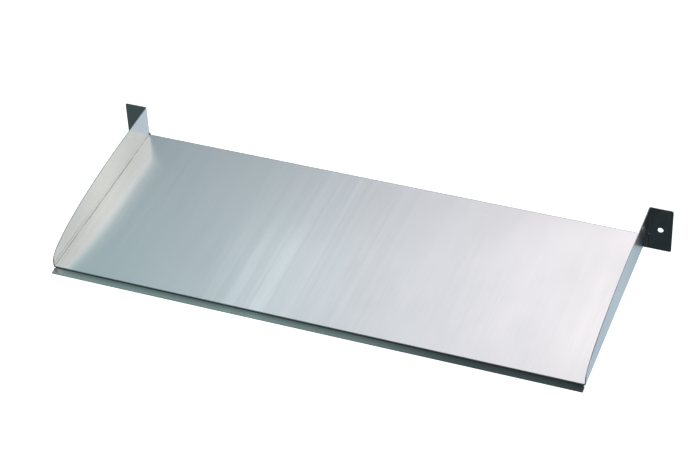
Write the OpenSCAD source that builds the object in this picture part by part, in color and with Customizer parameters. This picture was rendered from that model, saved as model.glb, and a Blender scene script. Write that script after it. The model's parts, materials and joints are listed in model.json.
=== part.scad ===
// Wave slide tray: a shallow slide bed of folded stainless sheet between two low cheeks.
// Two ears at its rear bolt it to a pair of posts, so it hangs level in front of them.
// Millimetres. X runs across the slide, +Y points at the posts and +Z is up.
// The origin is midway between the two ear holes, on the rear face of the ears.

/* [Sheet] */
// Thickness of the stainless sheet
sheet_t = 1.5; // [1:0.25:2]
// Inside radius of the fold between the plate and each cheek
cheek_fold_r = 1.5; // [1:0.25:3]
// Inside radius of the folds at the ears and at the rear flange
rear_fold_r = 1.5; // [1:0.25:2.25]

/* [Bed] */
// Width over the outer faces of the cheeks
bed_w = 958; // [600:2:1200]
// Depth from the plate's front edge to the mounting plane
bed_d = 402; // [320:2:600]
// Height of the ear holes above the running surface
hole_above_plate = 15; // [8:1:20]

/* [Cheeks] */
// Height of each cheek above the running surface
cheek_h = 61.5; // [50:0.5:90]
// Height of the upright stretch at the front of each cheek
nose_h = 13; // [6:0.5:20]
// How far back from its front edge a cheek reaches full height
cheek_run = 300; // [150:1:310]
// How far the cheeks stand ahead of the plate's front edge
cheek_lead = 1.5; // [0:0.5:3]

/* [Front lip] */
// Steepness of the small step at the front edge, in degrees
step_angle = 70; // [50:5:85]
// Length of the flat face of the step
step_face = 1; // [0.5:0.1:3]
// Fall of the lip below the horizontal, in degrees
lip_slope = 10.5; // [5:0.5:25]
// Length of the flat part of the lip
lip_flat = 12.2; // [8:0.1:20]
// Inside radius of both folds of the lip
lip_fold_r = 0.5; // [0.25:0.25:1.5]
// Gap between each end of the lip and the outer face of its cheek
lip_inset = 1.2; // [0.5:0.1:3]

/* [Ears and rear flange] */
// Width of an ear, outwards from its cheek
ear_w = 42; // [40:1:60]
// Depth of the ears and of the rear flange below the running surface
flange_drop = 29.5; // [20:0.5:60]
// Radius of the ears' outer corners
ear_corner_r = 3; // [1:0.5:6]
// Diameter of the hole in each ear, clearance for an M8 bolt
hole_d = 10; // [8:0.5:14]
// Distance from the cheek's outer face to the hole's centre
hole_out = 21; // [15:1:30]
// Size of the open relief where the folds meet at each rear corner
relief = 4; // [4:0.5:8]
// Stretch left open between the seam's top and the foot of the ear's fold
seam_stop = 1; // [0.5:0.5:5]
// Gap between ear and rear flange that the seam weld fills
seam_gap = 1.5; // [1:0.25:2]
// How far the weld bead stands proud in front
bead_crown = 0.8; // [0.4:0.1:1]

/* [Hidden] */
$fn = 64;

half_w = bed_w / 2;
plate_z = -hole_above_plate;
cheek_top = plate_z + cheek_h;
foot_z = plate_z - flange_drop;
// Outer radii of the folds, which are also how far each fold reaches
cheek_fold = cheek_fold_r + sheet_t;
rear_fold = rear_fold_r + sheet_t;
lip_fold = lip_fold_r + sheet_t;
// The plate's flat runs between these, tangent to the folds around it
plate_half = half_w - cheek_fold;
plate_front = -bed_d + lip_fold / 2;
// Where the upright part of a cheek starts, above its fold
cheek_foot = plate_z + cheek_fold_r;
flange_half = half_w - seam_gap / 2;
seam_h = flange_drop + relief - seam_stop;
// Gap between the front end of a cheek's fold and the lip
lip_clear = 0.2;
// Points of the lip's path, forwards and up from the plate's front end
arc_steps = 8;
edge_centre = [0, -lip_fold];
dip_centre = edge_centre + (lip_fold + lip_fold_r) * heading(90 - step_angle)
    + step_face * heading(-step_angle);
lip_end = dip_centre + lip_fold_r * heading(-90 - lip_slope) + lip_flat * heading(-lip_slope);
steel = [0.72, 0.74, 0.76];
dark_steel = [0.30, 0.34, 0.36];
weld_steel = [0.55, 0.54, 0.50];

// ---- folded sheet ----

// Section of a right-angled fold, centred on its own axis and turning from +Y to +X
module quarter_fold(r_in) {
    difference() {
        intersection() {
            circle(r = r_in + sheet_t);
            square(r_in + sheet_t);
        }
        circle(r = r_in);
    }
}

// Runs a side view across the slide, with its +X at the posts and its +Y up
module across(width) {
    rotate([90, 0, 90]) linear_extrude(width, center = true) children();
}

// Runs a front view along the slide, backwards from a given place
module along(front, length) {
    translate([0, front + length, 0]) rotate([90, 0, 0]) linear_extrude(length) children();
}

// The same piece on the left
module on_left() {
    mirror([1, 0, 0]) children();
}

// ---- bed ----

module slide_plate() {
    color(steel)
        translate([-plate_half, plate_front, plate_z - sheet_t])
            cube([2 * plate_half, -rear_fold - plate_front, sheet_t]);
}

// Points along an arc, turning towards smaller angles if to < from
function arc(centre, r, from, to) = [
    for (i = [0:arc_steps]) centre + r * heading(from + (to - from) * i / arc_steps)
];

function heading(a) = [cos(a), sin(a)];

// One side of the lip's section, a depth below its top face: over the edge, down
// the step, then out along the slope. It starts at the plate and heads along +X.
function lip_side(depth) = concat(
    arc(edge_centre, lip_fold - depth, 90, 90 - step_angle),
    arc(dip_centre, lip_fold_r + depth, -90 - step_angle, -90 - lip_slope),
    [lip_end - depth * heading(90 - lip_slope)]
);

function reversed(list) = [for (i = [len(list) - 1:-1:0]) list[i]];

module front_lip() {
    // The step stops at the plate's ends, so that only the sloping part passes the cheeks
    notch_front = -bed_d - cheek_lead - lip_clear;
    color(dark_steel)
        difference() {
            translate([0, plate_front, plate_z])
                across(bed_w - 2 * lip_inset)
                    mirror([1, 0]) polygon(concat(lip_side(0), reversed(lip_side(sheet_t))));
            for (x = [-half_w, plate_half])
                translate([x, notch_front, foot_z])
                    cube([cheek_fold, bed_d, flange_drop]);
        }
}

module rear_flange() {
    color(dark_steel) {
        across(2 * plate_half) {
            translate([-rear_fold, plate_z - rear_fold]) quarter_fold(rear_fold_r);
            translate([-sheet_t, foot_z]) square([sheet_t, flange_drop - rear_fold]);
        }
        // Beside the fold it runs on to the seams with the ears, and closes the reliefs' backs
        for (x = [-flange_half, plate_half])
            translate([x, -sheet_t, foot_z])
                cube([flange_half - plate_half, sheet_t, seam_h]);
    }
}

// ---- cheeks ----

// Side view: upright nose, then a quarter of an ellipse up to a level top
module cheek_outline() {
    nose_y = -bed_d - cheek_lead;
    rise = cheek_h - nose_h;
    polygon([
        [nose_y, cheek_foot],
        for (a = [180:-4:90])
            [nose_y + cheek_run * (1 + cos(a)), plate_z + nose_h + rise * sin(a)],
        [-rear_fold, cheek_top],
        [-rear_fold, plate_z + relief],
        [-relief, plate_z + relief],
        [-relief, cheek_foot]
    ]);
}

module cheek() {
    nose_y = -bed_d - cheek_lead;
    color(steel) {
        translate([half_w - sheet_t / 2, 0, 0]) across(sheet_t) cheek_outline();
        along(nose_y, -relief - nose_y)
            translate([plate_half, cheek_foot]) mirror([0, 1]) quarter_fold(cheek_fold_r);
    }
}

module right_cheek() {
    cheek();
}

module left_cheek() {
    on_left() cheek();
}

// ---- ears ----

// Front view of an ear, with both outer corners rounded
module ear_outline() {
    tip = half_w + ear_w - ear_corner_r;
    bottom = foot_z + ear_corner_r;
    top = cheek_top - ear_corner_r;
    difference() {
        union() {
            translate([half_w + rear_fold_r, foot_z])
                square([ear_w - rear_fold_r - ear_corner_r, cheek_top - foot_z]);
            translate([half_w + seam_gap / 2, foot_z])
                square([rear_fold_r, flange_drop + relief]);
            translate([tip, bottom]) square([ear_corner_r, top - bottom]);
            translate([tip, bottom]) circle(r = ear_corner_r);
            translate([tip, top]) circle(r = ear_corner_r);
        }
        translate([half_w + hole_out, 0]) circle(d = hole_d);
    }
}

module ear() {
    color(dark_steel) {
        along(-sheet_t, sheet_t) ear_outline();
        // Upright fold from the cheek out to the ear
        translate([half_w + rear_fold_r, -rear_fold, plate_z + relief])
            linear_extrude(cheek_h - relief) mirror([1, 0]) quarter_fold(rear_fold_r);
    }
}

module right_ear() {
    ear();
}

module left_ear() {
    on_left() ear();
}

// ---- seam welds ----

// Butt weld between ear and rear flange: flush behind, crowned in front
module seam_weld() {
    color(weld_steel)
        translate([half_w, 0, foot_z])
            linear_extrude(seam_h) {
                translate([-seam_gap / 2, -sheet_t]) square([seam_gap, sheet_t]);
                intersection() {
                    translate([0, -sheet_t]) circle(r = bead_crown);
                    translate([-bead_crown, -sheet_t - bead_crown])
                        square([2 * bead_crown, bead_crown]);
                }
            }
}

module right_seam_weld() {
    seam_weld();
}

module left_seam_weld() {
    on_left() seam_weld();
}

slide_plate();
front_lip();
rear_flange();
left_cheek();
right_cheek();
left_ear();
right_ear();
left_seam_weld();
right_seam_weld();
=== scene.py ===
"""Looks of the wave slide tray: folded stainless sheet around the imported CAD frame.

Every panel is rebuilt as a thin shell with real folds, deburred cut edges and the faint
unevenness of rolled sheet. Its UV map holds the panel's place on the flat blank, so that
the sheet's grain runs unbroken from the plate round each fold. Lengths are in metres.
"""
import json
import math

import bmesh
import bpy
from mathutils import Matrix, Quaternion, Vector, noise


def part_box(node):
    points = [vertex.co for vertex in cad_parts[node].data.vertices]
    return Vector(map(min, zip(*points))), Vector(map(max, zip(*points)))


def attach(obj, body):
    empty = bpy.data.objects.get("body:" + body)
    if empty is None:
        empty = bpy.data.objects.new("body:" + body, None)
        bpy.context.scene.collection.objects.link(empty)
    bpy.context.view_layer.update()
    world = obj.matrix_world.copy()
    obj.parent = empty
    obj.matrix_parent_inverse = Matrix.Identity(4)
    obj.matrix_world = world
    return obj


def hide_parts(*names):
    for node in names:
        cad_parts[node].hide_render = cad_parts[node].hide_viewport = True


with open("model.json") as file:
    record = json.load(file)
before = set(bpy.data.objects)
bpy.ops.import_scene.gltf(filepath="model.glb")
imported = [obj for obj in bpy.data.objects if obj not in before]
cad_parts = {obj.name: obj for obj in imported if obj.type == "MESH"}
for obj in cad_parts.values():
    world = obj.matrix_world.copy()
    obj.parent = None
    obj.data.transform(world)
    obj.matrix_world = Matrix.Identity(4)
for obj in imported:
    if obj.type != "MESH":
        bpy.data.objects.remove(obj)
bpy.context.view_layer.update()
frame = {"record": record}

MM = 0.001

# ---------------------------------------------------------------- sizes from the frame

plate_lo, plate_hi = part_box("slide_plate")
_, lip_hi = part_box("front_lip")
flange_lo, flange_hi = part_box("rear_flange")
cheek_lo, cheek_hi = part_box("right_cheek")
ear_lo, ear_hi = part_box("right_ear")
weld_lo, weld_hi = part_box("right_seam_weld")
bolts = next(m for m in frame["record"]["mounts"] if m["name"] == "post_bolts")

SHEET_T = plate_hi.z - plate_lo.z
PLATE_Z = plate_hi.z
PLATE_HALF = plate_hi.x
PLATE_FRONT = plate_lo.y
HALF_W = cheek_hi.x
CHEEK_FOLD_R = HALF_W - PLATE_HALF - SHEET_T
CHEEK_FOOT = PLATE_Z + CHEEK_FOLD_R
CHEEK_FRONT = cheek_lo.y
REAR_FOLD = -plate_hi.y
REAR_FOLD_R = REAR_FOLD - SHEET_T
HOLE_X = bolts["dims"]["spacing_x_mm"] * MM / 2
HOLE_R = bolts["dims"]["hole_r_mm"] * MM
WELD_TOP = weld_hi.z
# Open relief where the folds meet at each rear corner
RELIEF = 4 * MM

# ---------------------------------------------------------------- shape of the sheet

# A cheek's upright nose, and how far behind its front it reaches full height
NOSE_H = 13 * MM
CHEEK_RUN = 300 * MM
# The lip: a short steep step between two tight folds, then a gentle slope
LIP_FOLD_R = 0.5 * MM
LIP_STEP_ANGLE = math.radians(70)
LIP_STEP_FACE = 1.0 * MM
LIP_SLOPE = math.radians(10.5)
LIP_FLAT = 12.2 * MM
# Gap between the front end of a cheek's fold and the lip
LIP_CLEAR = 0.2 * MM
EAR_CORNER_R = 3 * MM
# A fold's panel starts with this much flat, so that its shading meets the plate's
LEAD = 0.4 * MM
# Bevel left by deburring along each cut edge
BREAK = 0.22 * MM
# Height of the plate's unevenness over its whole width and within a hand's width, in mm
BROAD_BUCKLE, LOCAL_BUCKLE = 0.35, 0.06
# Cells across the plate, which the lip's cells match, and along it
PLATE_COLUMNS, PLATE_ROWS = 190, 78
# Edges that turn by more than this are shaded sharp
SHARP_TURN = math.radians(50)
# The back of the sheet has its own stretch of the UV map, so it has its own grain
BACK_OFFSET = Vector((2.0, 0.0))


def spread(first, last, count):
    """count + 1 values, evenly spaced."""
    return [first + (last - first) * i / count for i in range(count + 1)]


def profile(start, heading, steps):
    """Section of a folded strip as (face point, back point, length so far). The face is on
    the left of the heading. Steps are (length, count) for a flat and
    (left turn, inside radius, count) for a fold."""
    at, angle, length = Vector(start), heading, 0.0
    out = []

    def put():
        left = Vector((-math.sin(angle), math.cos(angle)))
        out.append((at.copy(), at - left * SHEET_T, length))

    put()
    for step in steps:
        count = step[-1]
        for _ in range(count):
            if len(step) == 2:
                at = at + Vector((math.cos(angle), math.sin(angle))) * step[0] / count
                length += step[0] / count
            else:
                turn, inside = step[0] / count, step[1]
                side = 1 if turn > 0 else -1
                reach = inside if turn > 0 else inside + SHEET_T
                left = Vector((-math.sin(angle), math.cos(angle)))
                centre = at + left * side * reach
                angle += turn
                left = Vector((-math.sin(angle), math.cos(angle)))
                at = centre - left * side * reach
                length += abs(turn) * (inside + SHEET_T / 2)
            put()
    return out


class Shell:
    """A panel of sheet: its face, its back one thickness away, and the cut rim between."""

    def __init__(self):
        self.face, self.back, self.blank = [], [], []
        self.cells = []
        self.index = {}

    def point(self, face, back, blank):
        key = tuple(round(c * 1e6) for c in face)
        if key not in self.index:
            self.index[key] = len(self.face)
            self.face.append(Vector(face))
            self.back.append(Vector(back))
            self.blank.append(Vector(blank))
        return self.index[key]

    def patch(self, rows, keep=lambda row, column: True):
        """Adds a grid of (face, back, blank) points, without the cells that keep refuses."""
        ids = [[self.point(*p) for p in row] for row in rows]
        for i in range(len(ids) - 1):
            for j in range(len(ids[0]) - 1):
                if keep(i, j):
                    cell = (ids[i][j], ids[i][j + 1], ids[i + 1][j + 1], ids[i + 1][j])
                    self.cells.append(cell)

    def build(self, name, seam, left=False):
        """Makes the mesh. seam(x, y, z) is true where the rim meets a neighbouring panel."""
        flip = Vector((-1, 1, 1)) if left else Vector((1, 1, 1))
        count = len(self.face)
        bm = bmesh.new()
        for p in self.face + self.back:
            bm.verts.new(p * flip)
        bm.verts.ensure_lookup_table()
        uv = bm.loops.layers.uv.new("blank")
        side = -1 if left else 1

        def face(ids, places, material):
            if left:
                ids, places = ids[::-1], places[::-1]
            f = bm.faces.new([bm.verts[i] for i in ids])
            f.material_index = material
            f.smooth = True
            for loop, place in zip(f.loops, places):
                loop[uv].uv = (place.x * side, place.y)

        edges = {}
        for cell in self.cells:
            face(cell, [self.blank[i] for i in cell], 0)
            back = [self.blank[i] + BACK_OFFSET for i in reversed(cell)]
            face([i + count for i in reversed(cell)], back, 0)
            for a, b in zip(cell, cell[1:] + cell[:1]):
                edges[(a, b)] = True
        sharp = []
        for a, b in edges:
            if (b, a) in edges:
                continue
            along = self.blank[b] - self.blank[a]
            across = Vector((-along.y, along.x)).normalized() * SHEET_T
            places = [self.blank[b], self.blank[a]]
            places += [place + across for place in reversed(places)]
            face([b, a, a + count, b + count], places, 1)
            middle = (self.face[a] + self.face[b]) / 2
            if not seam(*middle):
                pairs = ((a, b), (a + count, b + count))
                sharp += [bm.edges.get((bm.verts[p], bm.verts[q])) for p, q in pairs]
        bmesh.ops.bevel(bm, geom=sharp, offset=BREAK, segments=2, profile=0.5, affect="EDGES")
        bmesh.ops.dissolve_degenerate(bm, dist=MM / 1000, edges=bm.edges)
        unused = [v for v in bm.verts if not v.link_faces]
        bmesh.ops.delete(bm, geom=unused, context="VERTS")
        mesh = bpy.data.meshes.new(name)
        bm.to_mesh(mesh)
        bm.free()
        mesh.set_sharp_from_angle(angle=SHARP_TURN)
        return finish_piece(name, mesh)


def finish_piece(name, mesh):
    """Puts a mesh in the scene, riding on the tray and standing for its CAD node."""
    piece = bpy.data.objects.new(name, mesh)
    bpy.context.scene.collection.objects.link(piece)
    normals = piece.modifiers.new("even shading", "WEIGHTED_NORMAL")
    normals.keep_sharp = True
    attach(piece, "root")
    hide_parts(name.removesuffix("_sheet").removesuffix("_bead"))
    return piece


def buckle(x, y):
    """Unevenness of the rolled plate, fading out at its four edges."""
    depth = (y - PLATE_FRONT) / (-REAR_FOLD - PLATE_FRONT)
    fade = max(0.0, 1 - (x / PLATE_HALF) ** 8) * max(0.0, 1 - (2 * depth - 1) ** 6)
    broad = noise.noise(Vector((x * 2.6, y * 4.0, 1.7)))
    local = noise.noise(Vector((x * 9.0, y * 5.0, 8.2)))
    return fade * (BROAD_BUCKLE * broad + LOCAL_BUCKLE * local) * MM


def plate_sheet():
    shell = Shell()
    half = PLATE_HALF - LEAD
    xs = spread(-half, half, PLATE_COLUMNS)
    ys = spread(PLATE_FRONT + LEAD, -REAR_FOLD - LEAD, PLATE_ROWS)
    rows = []
    for y in ys:
        row = []
        for x in xs:
            top = Vector((x, y, PLATE_Z + buckle(x, y)))
            row.append((top, top - Vector((0, 0, SHEET_T)), Vector((x, y))))
        rows.append(row)
    shell.patch(rows)
    return shell.build("slide_plate_sheet", lambda x, y, z: True)


def lip_sheet():
    steps = [
        (LEAD, 1), (-LIP_STEP_ANGLE, LIP_FOLD_R, 10), (LIP_STEP_FACE, 2),
        (LIP_STEP_ANGLE - LIP_SLOPE, LIP_FOLD_R, 6), (LIP_CLEAR, 1), (LIP_FLAT - LIP_CLEAR, 8),
    ]
    section = profile((-PLATE_FRONT - LEAD, PLATE_Z), 0.0, steps)
    # Only the last step is wide enough to pass in front of the cheeks
    passes_cheeks = sum(step[-1] for step in steps[:-1])
    end = lip_hi.x
    inner = spread(-PLATE_HALF, PLATE_HALF, PLATE_COLUMNS)
    xs = [-end] + inner + [end]
    rows = []
    for (ahead, top), (under, low), length in section:
        rows.append([
            (Vector((x, -ahead, top)), Vector((x, -under, low)), Vector((x, PLATE_FRONT - length)))
            for x in reversed(xs)
        ])
    last = len(xs) - 2
    shell = Shell()
    shell.patch(rows, lambda i, j: 0 < j < last or i >= passes_cheeks)
    return shell.build("front_lip_sheet", lambda x, y, z: y > PLATE_FRONT)


def flange_sheet():
    steps = [
        (LEAD, 1), (-math.pi / 2, REAR_FOLD_R, 12), (PLATE_Z - REAR_FOLD - flange_lo.z, 8)
    ]
    section = profile((-REAR_FOLD - LEAD, PLATE_Z), 0.0, steps)
    folded = sum(step[-1] for step in steps[:-1])
    xs = spread(-PLATE_HALF, PLATE_HALF, PLATE_COLUMNS // 2)
    shell = Shell()
    shell.patch([
        [
            (Vector((x, y, top)), Vector((x, under, low)), Vector((x, length - REAR_FOLD)))
            for x in xs
        ]
        for (y, top), (under, low), length in section
    ])
    # Narrow tabs beside the fold run up to the top of each seam
    flat = section[folded:]
    (_, flat_top), _, flat_start = flat[0]
    heights = [WELD_TOP, (WELD_TOP + flat_top) / 2] + [top for (_, top), _, _ in flat]
    for x_inner, x_outer in ((-PLATE_HALF, flange_lo.x), (PLATE_HALF, flange_hi.x)):
        shell.patch([
            [(Vector((x, 0, z)), Vector((x, -SHEET_T, z)),
              Vector((x, flat_start + flat_top - z - REAR_FOLD)))
             for x in sorted((x_inner, x_outer))]
            for z in heights
        ])

    def seam(x, y, z):
        meets_plate = y < -REAR_FOLD + LEAD / 2 and z > PLATE_Z - SHEET_T
        meets_weld = abs(x) > flange_hi.x - LEAD / 2
        return meets_plate or meets_weld

    return shell.build("rear_flange_sheet", seam)


def cheek_top(y):
    """Height of a cheek's top edge: an upright nose, then a quarter of an ellipse."""
    ahead = min(1.0, max(0.0, 1 - (y - CHEEK_FRONT) / CHEEK_RUN))
    rise = cheek_hi.z - PLATE_Z - NOSE_H
    return PLATE_Z + NOSE_H + rise * math.sqrt(max(0.0, 1 - ahead * ahead))


def cheek_sheet(left):
    fold = profile(
        (PLATE_HALF - LEAD, PLATE_Z), 0.0, [(LEAD, 1), (math.pi / 2, CHEEK_FOLD_R, 14)]
    )
    fold_length = fold[-1][2]
    relief_z = PLATE_Z + RELIEF
    curve = [CHEEK_FRONT + CHEEK_RUN * (1 - math.cos(a)) for a in spread(0, math.pi / 2, 44)]
    ys = curve + spread(curve[-1], -RELIEF, 12)[1:] + [-REAR_FOLD - LEAD]
    rows = []
    for y in ys:
        row = []
        for (x, z), (x_back, z_back), length in fold:
            row.append((Vector((x, y, z)), Vector((x_back, y, z_back)),
                        Vector((PLATE_HALF - LEAD + length, y))))
        for z in [relief_z] + spread(relief_z, cheek_top(y), 10)[1:]:
            blank = Vector((PLATE_HALF - LEAD + fold_length + z - CHEEK_FOOT, y))
            row.append((Vector((HALF_W - SHEET_T, y, z)), Vector((HALF_W, y, z)), blank))
        rows.append(row)
    # The fold and the stretch above it stop at the relief; the rest runs on to the ear's fold
    folded = len(fold)
    last = len(ys) - 2
    shell = Shell()
    shell.patch(rows, lambda i, j: i < last or j >= folded)

    def seam(x, y, z):
        return x < PLATE_HALF or y > -REAR_FOLD - LEAD - BREAK / 2

    name = "left_cheek_sheet" if left else "right_cheek_sheet"
    return shell.build(name, seam, left)


def ear_outline(inner_z):
    """Front view of the right ear, clockwise from its fold's top: (x, z) points."""
    r = EAR_CORNER_R
    out_x, top, foot = ear_hi.x, ear_hi.z, ear_lo.z
    fold_x = HALF_W + REAR_FOLD_R
    points = [Vector((x, top)) for x in spread(fold_x, out_x - r, 8)]
    for a in spread(math.pi / 2, 0, 6)[1:]:
        points.append(Vector((out_x - r + r * math.cos(a), top - r + r * math.sin(a))))
    points += [Vector((out_x, z)) for z in spread(top - r, foot + r, 16)[1:]]
    for a in spread(0, -math.pi / 2, 6)[1:]:
        points.append(Vector((out_x - r + r * math.cos(a), foot + r + r * math.sin(a))))
    edge_x = weld_hi.x - BREAK
    points += [Vector((x, foot)) for x in spread(out_x - r, edge_x, 9)[1:]]
    points += [Vector((edge_x, z)) for z in spread(foot, WELD_TOP, 8)[1:]]
    points.append(Vector((edge_x, inner_z[0])))
    points += [Vector((fold_x, z)) for z in inner_z]
    return points


def ear_sheet(left):
    relief_z = PLATE_Z + RELIEF
    fold_z = spread(relief_z, ear_hi.z, 10)
    fold = profile(
        (-REAR_FOLD - LEAD, -(HALF_W - SHEET_T)), 0.0,
        [(LEAD, 1), (-math.pi / 2, REAR_FOLD_R, 12)],
    )
    start = PLATE_HALF + (CHEEK_FOLD_R + SHEET_T / 2) * math.pi / 2 - CHEEK_FOOT
    fold_end = fold[-1][2] - REAR_FOLD - LEAD
    fold_x = HALF_W + REAR_FOLD_R
    shell = Shell()
    rows = []
    for z in fold_z:
        rows.append([
            (Vector((-x, y, z)), Vector((-x_back, y_back, z)),
             Vector((start + z, length - REAR_FOLD - LEAD)))
            for (y, x), (y_back, x_back), length in fold
        ])
    shell.patch(rows[::-1])
    outline = ear_outline(fold_z)
    centre = Vector((HOLE_X, 0))
    # Rings from the hole's rim out to the outline, closer together near the hole
    rings = []
    for share in (0, 0.03, 0.12, 0.3, 0.55, 0.8, 1):
        ring = []
        for edge in outline:
            rim = centre + (edge - centre).normalized() * HOLE_R
            x, z = rim.lerp(edge, share)
            blank = Vector((start + z, fold_end + x - fold_x))
            ring.append((Vector((x, 0, z)), Vector((x, -SHEET_T, z)), blank))
        rings.append(ring)
    shell.patch([ring[::-1] for ring in rings])

    def seam(x, y, z):
        meets_cheek = y < -REAR_FOLD - LEAD / 2 and z > relief_z
        meets_weld = x < HALF_W + SHEET_T / 2 and y > -LEAD and z < WELD_TOP
        return meets_cheek or meets_weld

    name = "left_ear_sheet" if left else "right_ear_sheet"
    return shell.build(name, seam, left)


def weld_bead(left):
    """A TIG bead of overlapping ripples, ground flush with the ears' rear face."""
    side = -1 if left else 1
    half, crown = 1.5 * MM, weld_hi.y - weld_lo.y - SHEET_T
    # Distance from ripple to ripple, and cells round the crown and up the bead
    pitch = 1.1 * MM
    around, up = 14, 140
    foot, height = weld_lo.z, weld_hi.z - weld_lo.z
    bm = bmesh.new()
    uv = bm.loops.layers.uv.new("blank")
    rings = []
    for k in range(up + 1):
        along = height * k / up
        end = min(1.0, along / half, (height - along) / half)
        body = math.sqrt(max(0.0, 1 - (1 - end) ** 2)) * 0.9 + 0.1
        ring = []
        for j in range(around + 1):
            a = math.pi * j / around
            bow = 0.8 * half * (math.sin(a) - 0.5)
            phase = ((along + bow) / pitch) % 1.0
            ripple = 1 - 0.16 * (2 * phase - 1) ** 4
            wander = 1 + 0.08 * noise.noise(Vector((along * 300, side * 4.0, 2.5)))
            x = half * math.cos(a) * body * wander
            y = -SHEET_T - crown * math.sin(a) * body * ripple
            ring.append(bm.verts.new((side * (HALF_W + x), y, foot + along)))
        for x in (-half * 0.5, half * 0.5):
            ring.append(bm.verts.new((side * (HALF_W + x), 0, foot + along)))
        rings.append(ring)
    for low, high in zip(rings, rings[1:]):
        for j in range(len(low)):
            n = (j + 1) % len(low)
            bm.faces.new((low[j], low[n], high[n], high[j]))
    bm.faces.new(rings[0][::-1])
    bm.faces.new(rings[-1])
    bmesh.ops.recalc_face_normals(bm, faces=bm.faces)
    for f in bm.faces:
        f.smooth = True
        for loop in f.loops:
            loop[uv].uv = (loop.vert.co.x, loop.vert.co.z)
    name = "left_seam_weld_bead" if left else "right_seam_weld_bead"
    mesh = bpy.data.meshes.new(name)
    bm.to_mesh(mesh)
    bm.free()
    mesh.set_sharp_from_angle(angle=SHARP_TURN)
    return finish_piece(name, mesh)


# ---------------------------------------------------------------- materials


class Nodes:
    """Short names for building one node tree."""

    def __init__(self, tree):
        self.tree = tree
        tree.nodes.clear()

    def add(self, kind, sockets=(), **settings):
        node = self.tree.nodes.new(kind)
        for key, value in settings.items():
            setattr(node, key, value)
        for key, value in dict(sockets).items():
            if isinstance(value, bpy.types.NodeSocket):
                self.tree.links.new(value, node.inputs[key])
            else:
                node.inputs[key].default_value = value
        return node

    def math(self, operation, *values):
        return self.add("ShaderNodeMath", enumerate(values), operation=operation).outputs[0]

    def times(self, first, *others):
        for other in others:
            first = self.math("MULTIPLY", first, other)
        return first

    def remap(self, value, low, high, to_low=0.0, to_high=1.0, smooth=True):
        kind = "SMOOTHSTEP" if smooth else "LINEAR"
        sockets = {"Value": value, "From Min": low, "From Max": high,
                   "To Min": to_low, "To Max": to_high}
        return self.add("ShaderNodeMapRange", sockets, interpolation_type=kind).outputs[0]

    def noise(self, vector, scale, detail=2.0, roughness=0.5):
        scaled = self.add("ShaderNodeVectorMath", {0: vector, 1: scale}, operation="MULTIPLY")
        sockets = {"Vector": scaled.outputs[0], "Scale": 1.0, "Detail": detail,
                   "Roughness": roughness}
        return self.add("ShaderNodeTexNoise", sockets).outputs[0]

    def mix(self, factor, a, b, blend="MIX"):
        node = self.add("ShaderNodeMix", data_type="RGBA", blend_type=blend)
        for name, value in (("Factor", factor), ("A", a), ("B", b)):
            socket = next(s for s in node.inputs if s.name == name and s.enabled)
            if isinstance(value, bpy.types.NodeSocket):
                self.tree.links.new(value, socket)
            else:
                socket.default_value = value
        return next(s for s in node.outputs if s.enabled)

    def scale(self, colour, level):
        """A colour times a level, which may go over 1."""
        vector = colour if isinstance(colour, bpy.types.NodeSocket) else colour[:3]
        sockets = {0: vector, "Scale": level}
        return self.add("ShaderNodeVectorMath", sockets, operation="SCALE").outputs[0]

    def near(self, value, place, reach):
        """1 at a place, fading to 0 at a distance of reach."""
        distance = self.math("ABSOLUTE", self.math("SUBTRACT", value, place))
        return self.remap(distance, 0.0, reach, 1.0, 0.0)

    def ramp(self, factor, stops, low, high):
        """Colours at places between low and high, blended evenly."""
        node = self.add("ShaderNodeValToRGB", {0: factor})
        elements = node.color_ramp.elements
        elements.remove(elements[1])
        for place, colour in stops:
            at = (place - low) / (high - low)
            element = elements[0] if place == low else elements.new(at)
            element.color = (*colour, 1.0)
        return node.outputs[0]


def grey(value, tint=(1.0, 1.0, 1.0)):
    return tuple(value * c for c in tint) + (1.0,)


def new_material(name):
    material = bpy.data.materials.new(name)
    material.use_nodes = True
    return material, Nodes(material.node_tree)


def metal(n, sockets):
    """Ends a material's nodes as bare metal."""
    shader = n.add("ShaderNodeBsdfPrincipled", {"Metallic": 1.0, **sockets})
    n.add("ShaderNodeOutputMaterial", {"Surface": shader.outputs[0]})


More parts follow.
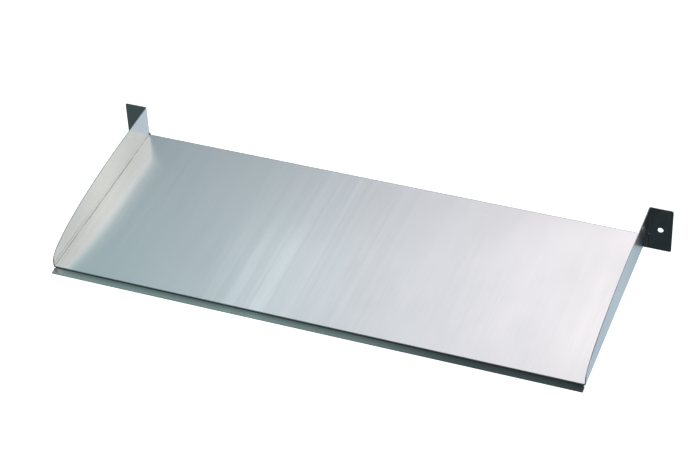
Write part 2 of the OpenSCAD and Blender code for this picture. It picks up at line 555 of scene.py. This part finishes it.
def stainless():
    """Mill-finished stainless, with painted shade along the folds and in the lip's dip, a painted
    dark reflection on the lip, and painted highlights on the plate and cheeks.
    """
    material, n = new_material("brushed_stainless")
    # Place on the flat blank: from the middle line, and from the mounting plane (negative)
    blank = n.add("ShaderNodeUVMap", uv_map="blank").outputs[0]
    across, deep, _ = n.add("ShaderNodeSeparateXYZ", {0: blank}).outputs
    side = n.math("ABSOLUTE", across)

    # Grain and rolling streaks, long in depth and narrow across
    fine = n.noise(blank, (2400, 14, 0), 3.0, 0.6)
    grain = n.noise(blank, (420, 2.4, 0), 3.0, 0.6)
    streaks = n.noise(blank, (44, 0.7, 0), 3.0, 0.55)
    waves = n.noise(blank, (11, 2.2, 0), 2.0)
    # The streaks are deepest a little left of the middle
    streaks = n.mix(n.near(across, -0.05, 0.22), n.times(streaks, 0.45), streaks)
    clouds = n.noise(blank, (7, 4, 0), 4.0, 0.6)
    scores = n.remap(n.noise(blank, (700, 5.5, 0), 1.0), 0.76, 0.84)
    tone = n.math("ADD", n.times(fine, 0.4), n.times(grain, 0.6))
    tone = n.remap(tone, 0.3, 0.7)
    colour = n.mix(tone, grey(0.598, (1.0, 1.005, 1.01)), grey(0.632))
    colour = n.mix(n.remap(streaks, 0.35, 0.7, 0.0, 0.5), colour, grey(0.66))
    colour = n.mix(n.remap(clouds, 0.4, 0.75, 0.0, 0.2), colour, grey(0.58, (0.985, 1.0, 1.0)))
    colour = n.mix(n.times(scores, 0.5), colour, grey(0.72))
    # A few painted reflection bands left of the middle, brightest towards the front
    reflected_bands = n.remap(n.noise(blank, (24, 0.5, 0), 2.0), 0.46, 0.56, 0.45, 1.0)
    reflected_bands = n.times(reflected_bands, n.remap(deep, -0.12, -0.26, 0.15, 0.75), n.near(across, -0.105, 0.14))
    colour = n.mix(reflected_bands, colour, grey(0.80))

    # Along the cheeks: painted shade in the crease of each fold, which is also rougher, and, above
    # it, the faint print of the bending die
    crease_at = PLATE_HALF + (CHEEK_FOLD_R + SHEET_T / 2) * math.pi / 4
    beside = n.times(n.math("GREATER_THAN", deep, CHEEK_FRONT),
                     n.math("LESS_THAN", deep, -RELIEF))
    shade_patchiness = n.remap(n.noise(blank, (60, 24, 0), 3.0), 0.3, 0.6, 0.55, 1.0)
    # Painted shade darkens the crease, unevenly along its length
    shaded_rough_crease = n.times(n.near(side, crease_at, 2.6 * MM), beside, shade_patchiness)
    print_line = n.times(n.near(side, crease_at + 9 * MM, 2.6 * MM), beside,
                         n.remap(deep, -0.12, -0.30, 0.15, 0.5))
    colour = n.mix(n.times(shaded_rough_crease, 0.6), colour, grey(0.20, (0.92, 1.0, 0.96)))
    colour = n.mix(print_line, colour, grey(0.25))

    # Along the lip: a painted dark reflection that clears towards the free edge, darker on the
    # right, and a line of painted shade in the dip
    lip_dark_reflection = n.times(n.remap(deep, PLATE_FRONT - 15 * MM, PLATE_FRONT - 4 * MM, 0.0, 0.6),
                   n.math("LESS_THAN", deep, PLATE_FRONT - 1 * MM))
    colour = n.mix(lip_dark_reflection, colour, grey(0.17, (0.9, 1.0, 1.0)))
    # Painted dark reflection, stronger and bluer on the lip's right side
    right_lip_dark_reflection = n.times(n.remap(across, 0.08, 0.28, 0.0, 0.6),
                     n.math("LESS_THAN", deep, PLATE_FRONT - 3 * MM))
    colour = n.mix(right_lip_dark_reflection, colour, grey(0.12, (0.80, 0.98, 1.15)))
    # Painted shade: a dark line in the dip just ahead of the plate's front edge
    dip_shade = n.near(deep, PLATE_FRONT - 2.6 * MM, 2.6 * MM)
    colour = n.mix(n.times(dip_shade, 0.8), colour, grey(0.08, (0.95, 1.0, 1.0)))

    # Halfway back a painted highlight brightens the cheeks
    cheek_highlight = n.times(n.near(deep, -0.20, 0.15),
                     n.math("GREATER_THAN", side, crease_at + 2 * MM))
    colour = n.mix(n.times(cheek_highlight, 0.6), colour, grey(0.78, (1.02, 1.0, 0.98)))

    rough = n.remap(tone, 0.0, 1.0, 0.215, 0.245)
    rough = n.math("ADD", rough, n.remap(clouds, 0.3, 0.8, 0.0, 0.02))
    rough = n.math("ADD", rough, n.times(shaded_rough_crease, 0.15))
    # Heights in metres; the scores are cut in
    bump = None
    for height, depth in ((waves, 0.00012), (streaks, 0.00009), (grain, 0.0000015),
                          (fine, 0.0000005), (scores, -0.000003)):
        sockets = {"Height": height, "Strength": 1.0, "Distance": abs(depth)}
        if bump:
            sockets["Normal"] = bump
        bump = n.add("ShaderNodeBump", sockets, invert=depth < 0).outputs[0]
    tangent = n.add("ShaderNodeTangent", direction_type="UV_MAP", uv_map="blank")
    metal(n, {"Base Color": colour, "Roughness": rough, "Anisotropic": 0.7,
              "Normal": bump, "Tangent": tangent.outputs[0]})
    return material


def cut_edge():
    """Laser-cut and deburred edge: rougher than the sheet's faces, and finely pitted."""
    material, n = new_material("cut_edge")
    blank = n.add("ShaderNodeUVMap", uv_map="blank").outputs[0]
    pits = n.noise(blank, (1800, 1800, 0), 2.0)
    bump = n.add("ShaderNodeBump", {"Height": pits, "Strength": 0.6, "Distance": 0.00003})
    metal(n, {"Base Color": n.mix(pits, grey(0.50), grey(0.66)),
              "Roughness": n.remap(pits, 0.3, 0.7, 0.44, 0.56), "Normal": bump.outputs[0]})
    return material


def weld_metal():
    """Bead with small patches of straw and blue heat tint."""
    material, n = new_material("seam_weld")
    place = n.add("ShaderNodeTexCoord").outputs["Object"]
    patches = n.noise(place, (500, 500, 500), 3.0)
    straw, blue = grey(0.36, (1.05, 0.98, 0.86)), grey(0.38, (0.92, 0.97, 1.06))
    bump = n.add("ShaderNodeBump", {"Height": patches, "Strength": 0.4, "Distance": 0.00004})
    metal(n, {"Base Color": n.mix(n.remap(patches, 0.35, 0.65), straw, blue),
              "Roughness": n.remap(patches, 0.3, 0.7, 0.26, 0.40), "Normal": bump.outputs[0]})
    return material


# ---------------------------------------------------------------- studio


def studio_light():
    """A broad soft source behind the tray and to the right, fading and turning cyan to the
    left; dim overhead, dark low in front, and pale bluish bounced light low behind. Places
    are parts of a unit heading: x to the right, y to the back and z up."""
    world = bpy.data.worlds.new("studio")
    bpy.context.scene.world = world
    world.use_nodes = True
    n = Nodes(world.node_tree)
    way = n.add("ShaderNodeTexCoord").outputs["Generated"]
    x, y, z = n.add("ShaderNodeSeparateXYZ", {0: way}).outputs

    def height(degrees):
        return math.sin(math.radians(degrees))

    # Soft source: its colour by azimuth from +Y towards +X. It leans, so that a lower place
    # looks further to the left
    lean = n.remap(z, 0.5, 0.786, -0.214, 0.214, smooth=False)
    turn = n.math("ADD", n.math("ARCTAN2", x, y), lean)
    left, right = -60, 120
    place = n.remap(turn, math.radians(left), math.radians(right), smooth=False)
    panel = n.ramp(place, [
        (left, (0.03, 0.05, 0.06)), (-40, (0.07, 0.13, 0.15)), (-32, (0.135, 0.225, 0.24)),
        (-28, (0.19, 0.30, 0.32)), (-25, (0.38, 0.49, 0.53)), (-22, (0.46, 0.555, 0.605)),
        (-19, (0.54, 0.54, 0.585)), (-14, (0.97, 0.86, 0.91)), (-9, (0.89, 0.82, 0.85)),
        (5, (0.85, 0.85, 0.82)), (20, (0.665, 0.69, 0.66)), (60, (0.665, 0.69, 0.66)),
        (right, (0.25, 0.27, 0.28)),
    ], left, right)
    # Its soft lower and upper edges, both further out on the right
    low_edge = n.remap(n.math("ADD", z, n.remap(x, -0.45, 0.35, 0.0, 0.12)),
                       height(37), height(41.5), 0.15, 1.0)
    low_edge = n.math("MAXIMUM", low_edge, n.remap(x, -0.23, -0.15, 0.15, 0.6))
    high_edge = n.remap(n.math("SUBTRACT", z, n.remap(x, 0.0, 0.35, 0.0, 0.13)),
                        height(42), height(50.5), 1.0, 0.0)
    panel = n.scale(panel, n.times(low_edge, high_edge, 2.5))

    # High in front a dim softbox, and on the left a cyan glow that is stronger high up
    front_fill = n.times(n.remap(y, -0.25, -0.6, 0.0, 0.35), n.remap(z, 0.45, 0.65),
                         n.remap(z, 0.75, 0.9, 1.0, 0.0))
    left_glow = n.mix(n.remap(z, 0.54, 0.67), grey(0.13, (0.50, 1.0, 1.25)),
                      grey(0.26, (0.62, 1.03, 0.98)))
    glow = n.mix(n.remap(x, -0.18, -0.42), grey(0.03), left_glow)
    high_glow = n.times(n.remap(x, -0.20, -0.29), n.remap(z, 0.72, 0.80, 0.0, 0.30))
    glow = n.mix(1.0, glow, n.scale(grey(1.0, (0.75, 1.0, 1.02)), high_glow), blend="ADD")
    fill = n.mix(1.0, glow, n.scale(grey(1.0), front_fill), blend="ADD")
    upper = n.mix(1.0, panel, fill, blend="ADD")

    # Below, bounced light from behind and little from in front
    low_front = n.mix(n.remap(x, -0.1, -0.45), grey(0.028, (0.66, 0.97, 1.15)),
                      grey(0.12, (0.70, 1.0, 1.05)))
    low_middle = n.scale(grey(1.0, (0.74, 0.96, 1.12)), n.remap(z, -0.60, -0.68, 0.40, 0.68))
    low_back = n.mix(n.remap(x, 0.17, 0.36), low_middle, grey(0.90, (0.86, 1.0, 1.12)))
    low_back = n.mix(n.remap(z, -0.72, -0.84), low_back, grey(0.45, (0.97, 1.0, 1.0)))
    lower = n.mix(n.remap(y, -0.15, 0.35), low_front, low_back)

    light = n.mix(n.remap(z, -0.15, 0.25), lower, upper)
    lit = n.add("ShaderNodeBackground", {"Color": light, "Strength": 1.0})
    plain = n.add("ShaderNodeBackground", {"Color": grey(1.0), "Strength": 1.0})
    seen = n.add("ShaderNodeLightPath").outputs["Is Camera Ray"]
    both = n.add("ShaderNodeMixShader", {0: seen, 1: lit.outputs[0], 2: plain.outputs[0]})
    n.add("ShaderNodeOutputWorld", {"Surface": both.outputs[0]})


def pale_floor():
    """A plain floor far below the tray, which hangs on its posts. It is clear from below,
    and the tray reflects the studio light instead of it."""
    mesh = bpy.data.meshes.new("floor")
    size, drop = 30.0, 0.9
    corners = [(-size, -size), (size, -size), (size, size), (-size, size)]
    mesh.from_pydata([(x, y, -drop) for x, y in corners], [], [(0, 1, 2, 3)])
    floor = bpy.data.objects.new("floor", mesh)
    bpy.context.scene.collection.objects.link(floor)
    material, n = new_material("pale_floor")
    place = n.add("ShaderNodeTexCoord").outputs["Object"]
    clouds = n.noise(place, (1.5, 1.5, 1.5), 2.0)
    paint = n.mix(clouds, grey(0.94), grey(0.97))
    matt = n.add("ShaderNodeBsdfDiffuse", {"Color": paint})
    glow = n.add("ShaderNodeEmission", {"Color": grey(1.0), "Strength": 0.75})
    lit = n.add("ShaderNodeAddShader", {0: matt.outputs[0], 1: glow.outputs[0]})
    clear = n.add("ShaderNodeBsdfTransparent")
    under = n.add("ShaderNodeNewGeometry").outputs["Backfacing"]
    both = n.add("ShaderNodeMixShader", {0: under, 1: lit.outputs[0], 2: clear.outputs[0]})
    n.add("ShaderNodeOutputMaterial", {"Surface": both.outputs[0]})
    mesh.materials.append(material)
    floor.visible_glossy = False


def camera():
    """Stands in front, to the right and well above the tray, and leans a little."""
    azimuth, elevation, lean = (math.radians(a) for a in (22.04, 39.51, 2.60))
    distance = 3.9107
    aim = Vector((-19.2, -158.1, -15.1)) * MM
    back = Vector((
        math.sin(azimuth) * math.cos(elevation),
        -math.cos(azimuth) * math.cos(elevation),
        math.sin(elevation),
    ))
    data = bpy.data.cameras.new("camera")
    data.sensor_width = 36.0
    data.lens = 114.16
    cam = bpy.data.objects.new("camera", data)
    cam.location = aim + back * distance
    cam.rotation_mode = "QUATERNION"
    cam.rotation_quaternion = (-back).to_track_quat("-Z", "Y") @ Quaternion((0, 0, 1), -lean)
    bpy.context.scene.collection.objects.link(cam)
    bpy.context.scene.camera = cam


camera()
studio_light()
pale_floor()
bpy.context.scene.view_settings.view_transform = "Standard"

steel, edge, bead = stainless(), cut_edge(), weld_metal()
panels = [plate_sheet(), lip_sheet(), flange_sheet()]
panels += [cheek_sheet(left) for left in (True, False)]
panels += [ear_sheet(left) for left in (True, False)]
for panel in panels:
    panel.data.materials.append(steel)
    panel.data.materials.append(edge)
for weld in [weld_bead(left) for left in (True, False)]:
    weld.data.materials.append(bead)
